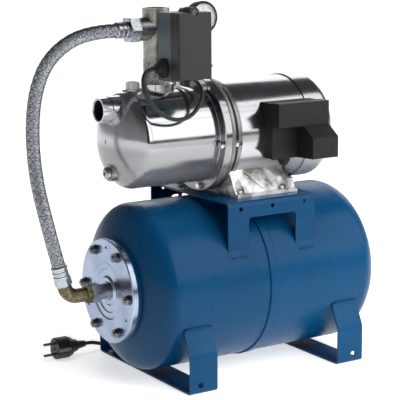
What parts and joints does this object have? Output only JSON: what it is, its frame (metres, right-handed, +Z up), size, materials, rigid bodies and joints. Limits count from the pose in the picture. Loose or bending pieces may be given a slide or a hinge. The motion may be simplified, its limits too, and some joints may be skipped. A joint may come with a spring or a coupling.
{
  "type": "domestic water pump",
  "caption": "Booster pump: stainless jet pump and motor on a horizontal blue pressure tank, with pressure switch, gauge, braided hose and plug.",
  "frame": {"origin": "on the floor, at the centre of the four floor-bolt holes of the feet, under the tank seam", "axes": "+X along the tank and pump shaft towards the motor fan, +Y to the rear (the switch and terminal box face -Y), +Z up"},
  "size_m": [0.6082, 0.4243, 0.5957],
  "materials": {
    "tank_blue": "glossy blue enamel over steel",
    "zinc": "zinc plated pressed steel",
    "bright_steel": "polished stainless steel",
    "bolt_steel": "bright zinc plated fasteners",
    "bronze": "dull cast brass",
    "nickel": "nickel plated brass",
    "cast_alu": "fettled aluminium casting",
    "black_plastic": "fine grained black moulding",
    "grey_plastic": "satin dark grey moulding",
    "base_plastic": "satin blue grey moulding",
    "white_plastic": "plain moulding",
    "rubber": "moulded rubber",
    "cord": "smooth black sheath",
    "braid": "woven steel wire braid over rubber",
    "copper": "varnished copper wire",
    "core": "laminated electrical steel",
    "ceramic_face": "carbon and ceramic seal",
    "dial": "printed dial",
    "needle_black": "black painted pointer",
    "clear": "clear window"
  },
  "bodies": {
    "set": {"shell_left": "tank_blue", "shell_right": "tank_blue", "foot_left": "tank_blue", "foot_right": "tank_blue", "platform": "tank_blue", "bladder": "rubber", "counterflange": "zinc", "flange_bolts": "bolt_steel", "flange_hub": "bright_steel", "elbow": "bronze", "air_valve": "nickel", "pump_body": "bright_steel", "suction_port": "bright_steel", "back_plate": "bright_steel", "seal_seat": "ceramic_face", "body_oring": "rubber", "diffuser": "white_plastic", "venturi": "white_plastic", "bracket": "cast_alu", "casing_bolts": "bolt_steel", "motor_jacket": "bright_steel", "stator": "core", "windings": "copper", "bearings": "bright_steel", "rear_shield": "cast_alu", "fan_cover": "bright_steel", "motor_foot": "cast_alu", "foot_bolts": "bolt_steel", "terminal_base": "black_plastic", "capacitor": "white_plastic", "terminal_gland": "black_plastic", "five_way": "nickel", "gauge_case": "black_plastic", "gauge_dial": "dial", "gauge_lens": "clear", "switch_flange": "zinc", "switch_base": "base_plastic", "switch_works": "zinc", "switch_glands": "base_plastic", "ferrules": "nickel", "hose": "braid", "motor_lead": "cord", "mains_lead": "cord", "mains_coil": "cord", "mains_tail": "cord", "plug": "black_plastic", "plug_metal": "nickel"},
    "rotor_set": {"impeller": "white_plastic", "seal_rotor": "ceramic_face", "rotor": "core", "shaft": "bright_steel", "fan": "black_plastic"},
    "pointer": {"gauge_needle": "needle_black"},
    "nut": {"union_nut": "nickel"},
    "filler": {"priming_plug": "nickel"},
    "drain": {"drain_plug": "nickel"},
    "cap": {"valve_cap": "black_plastic"},
    "cover": {"switch_cover": "grey_plastic", "switch_screws": "bolt_steel"},
    "lid": {"terminal_lid": "black_plastic"}
  },
  "joints": [
    {"name": "shaft_spin", "type": "hinge", "parent": "set", "child": "rotor_set", "pos_m": [0, 0, 0.384], "axis": [1, 0, 0], "continuous": true},
    {"name": "pointer_turn", "type": "hinge", "parent": "set", "child": "pointer", "pos_m": [-0.055, 0, 0.5695], "axis": [0, 1, 0], "range_deg": [0, 270]},
    {"name": "nut_spin", "type": "hinge", "parent": "set", "child": "nut", "pos_m": [-0.18, 0, 0.555], "axis": [1, 0, 0], "continuous": true},
    {"name": "filler_out", "type": "slide", "parent": "set", "child": "filler", "axis": [0, 0, 1], "range_m": [0, 0.03]},
    {"name": "drain_out", "type": "slide", "parent": "set", "child": "drain", "axis": [-1, 0, 0], "range_m": [0, 0.03]},
    {"name": "cap_off", "type": "slide", "parent": "set", "child": "cap", "axis": [1, 0, 0], "range_m": [0, 0.025]},
    {"name": "cover_off", "type": "slide", "parent": "set", "child": "cover", "axis": [0, -1, 0], "range_m": [0, 0.045]},
    {"name": "lid_off", "type": "slide", "parent": "set", "child": "lid", "axis": [0, -1, 0], "range_m": [0, 0.05]}
  ]
}
